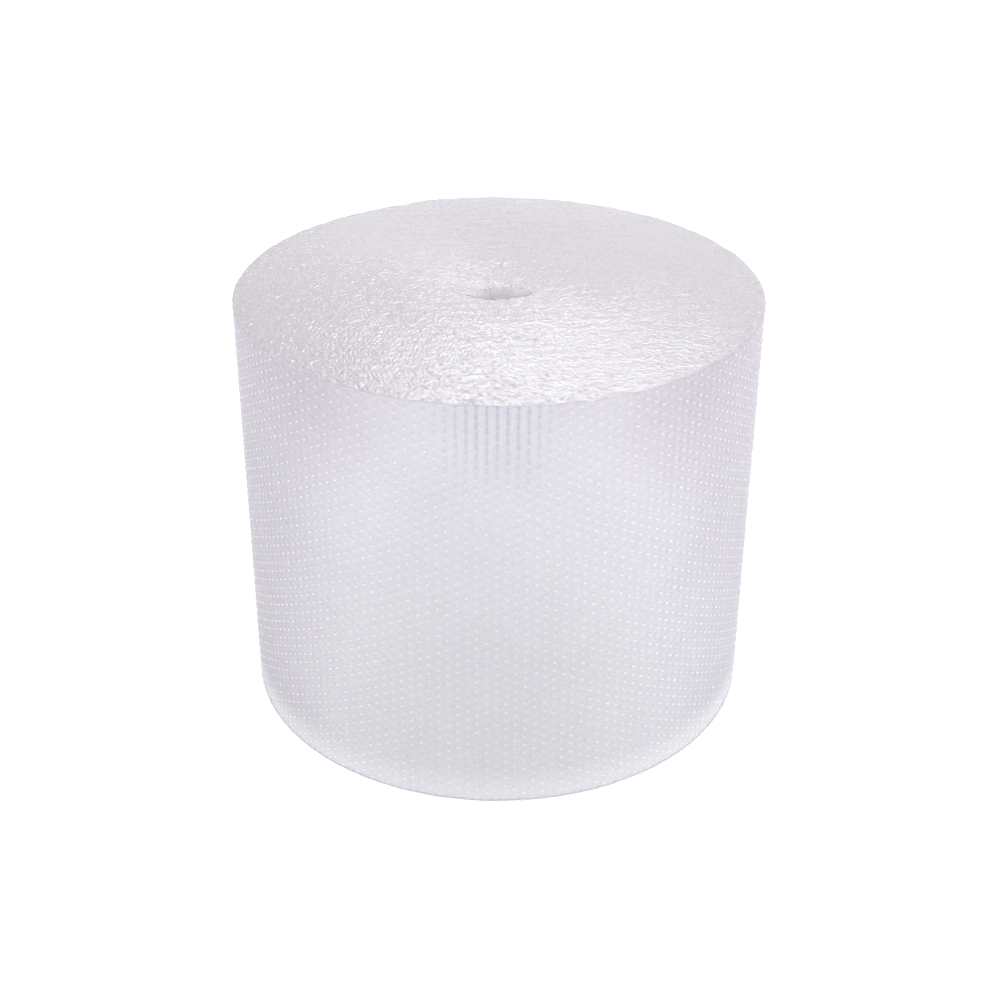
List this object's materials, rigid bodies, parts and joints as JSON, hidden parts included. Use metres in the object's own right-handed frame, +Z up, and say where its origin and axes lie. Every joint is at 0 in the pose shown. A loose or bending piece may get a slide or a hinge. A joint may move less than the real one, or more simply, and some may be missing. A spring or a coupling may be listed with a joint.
{
  "type": "bubble wrap roll",
  "caption": "Coreless roll of clear small-bubble film standing on its end, with a ridged bubbly wall, crinkled end faces and a flattened hollow through the middle.",
  "frame": {"origin": "on the roll's axis, in the plane that the roll stands on", "axes": "+Z up along the roll's axis, +X to the right and -Y to the front as the picture shows it"},
  "size_m": [0.6047, 0.6061, 0.5],
  "materials": {
    "bubble_film": "clear polyethylene bubble film, milky white where many turns lie together, glossy"
  },
  "bodies": {
    "root": {"bubble_roll": "bubble_film"}
  },
  "joints": []
}
